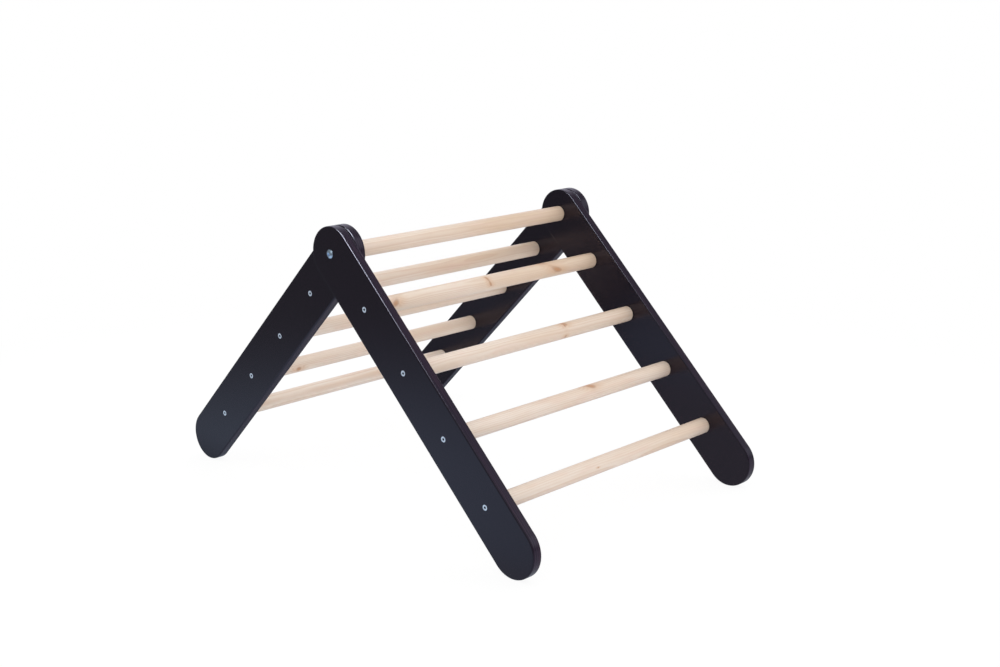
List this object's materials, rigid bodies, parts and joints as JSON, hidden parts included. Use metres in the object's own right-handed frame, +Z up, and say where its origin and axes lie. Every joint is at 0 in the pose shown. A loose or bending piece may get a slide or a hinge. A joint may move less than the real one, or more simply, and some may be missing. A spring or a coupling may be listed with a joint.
{
  "type": "folding climbing triangle",
  "caption": "Low folding A-frame of two rung ladders, with dark painted plywood rails and round pine rungs, hinged on two bolts at the top for small children to climb.",
  "frame": {"origin": "on the floor, under the middle of the pivot axis, at the centre of the whole object's base", "axes": "+X along the rungs, to the right of someone facing the front ladder; +Y from the front ladder to the rear one; +Z up"},
  "size_m": [0.6024, 0.8904, 0.4902],
  "materials": {
    "rail_paint": "satin dark stain on plywood",
    "pine": "clear matt varnish",
    "zinc": "bright zinc plating",
    "nylon": "plain nylon",
    "insert_steel": "yellowish passivated zinc"
  },
  "bodies": {
    "front_frame": {"front_rail_left": "rail_paint", "front_rail_right": "rail_paint", "top_rung": "pine", "front_rung_1": "pine", "front_rung_2": "pine", "front_rung_3": "pine", "front_rung_4": "pine", "front_screws_left": "zinc", "front_screws_right": "zinc", "pivot_bolt_left": "zinc", "pivot_bolt_right": "zinc", "pivot_washer_left": "nylon", "pivot_washer_right": "nylon", "rung_insert_left": "insert_steel", "rung_insert_right": "insert_steel"},
    "rear_frame": {"rear_rail_left": "rail_paint", "rear_rail_right": "rail_paint", "rear_rung_1": "pine", "rear_rung_2": "pine", "rear_rung_3": "pine", "rear_rung_4": "pine", "rear_screws_left": "zinc", "rear_screws_right": "zinc"}
  },
  "joints": [
    {"name": "fold", "type": "hinge", "parent": "front_frame", "child": "rear_frame", "pos_m": [0, 0, 0.44522], "axis": [1, 0, 0], "range_deg": [-58.2, 90]}
  ]
}
